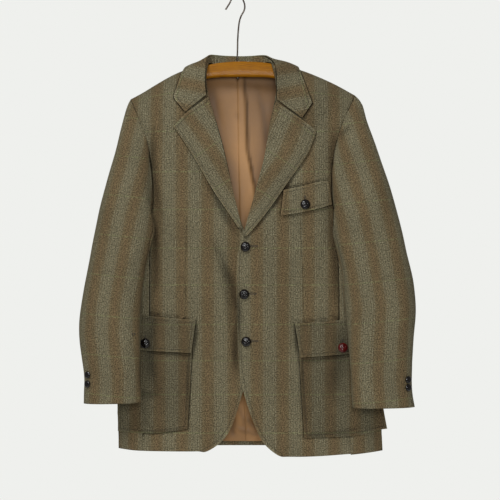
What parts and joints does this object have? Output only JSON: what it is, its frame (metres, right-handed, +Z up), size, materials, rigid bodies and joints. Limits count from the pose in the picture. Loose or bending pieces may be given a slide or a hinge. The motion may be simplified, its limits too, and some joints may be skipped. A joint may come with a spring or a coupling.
{
  "type": "tweed hacking jacket on hanger",
  "caption": "Single-breasted tweed hacking jacket with notched lapels, flapped patch pockets and woven leather buttons, hung on a wooden hanger.",
  "frame": {"origin": "inside top of the hanger's hook bend, where a rail or wall hook holds it", "axes": "+Z up, the jacket's front faces -Y, the wearer's left is +X"},
  "size_m": [0.6885, 0.1533, 0.9724],
  "materials": {
    "tweed": "matte twill weave in grey-green and brown bands with fine pale window lines",
    "lining_satin": "soft satin",
    "button_leather": "polished, woven",
    "button_oxblood": "polished, woven",
    "hanger_wood": "clear varnish",
    "hanger_steel": "darkened wire"
  },
  "bodies": {
    "root": {"front_right": "tweed", "back_right": "tweed", "side_right": "tweed", "lining_back_right": "lining_satin", "front_left": "tweed", "back_left": "tweed", "side_left": "tweed", "lining_back_left": "lining_satin", "sleeve_right_top": "tweed", "sleeve_right_under": "tweed", "sleeve_left_top": "tweed", "sleeve_left_under": "tweed", "collar": "tweed", "collar_stand": "tweed", "lapel_right": "tweed", "lapel_left": "tweed", "pocket_right": "tweed", "pocket_left": "tweed", "pocket_flap_right": "tweed", "pocket_flap_left": "tweed", "chest_flap": "tweed", "front_button_1": "button_leather", "front_button_2": "button_leather", "front_button_3": "button_leather", "chest_button": "button_leather", "pocket_button_right": "button_leather", "pocket_button_left": "button_oxblood", "cuff_button_right_1": "button_leather", "cuff_button_right_2": "button_leather", "cuff_button_left_1": "button_leather", "cuff_button_left_2": "button_leather", "hanger_bar": "hanger_wood", "hanger_hook": "hanger_steel", "hanger_nut": "hanger_steel"}
  },
  "joints": []
}
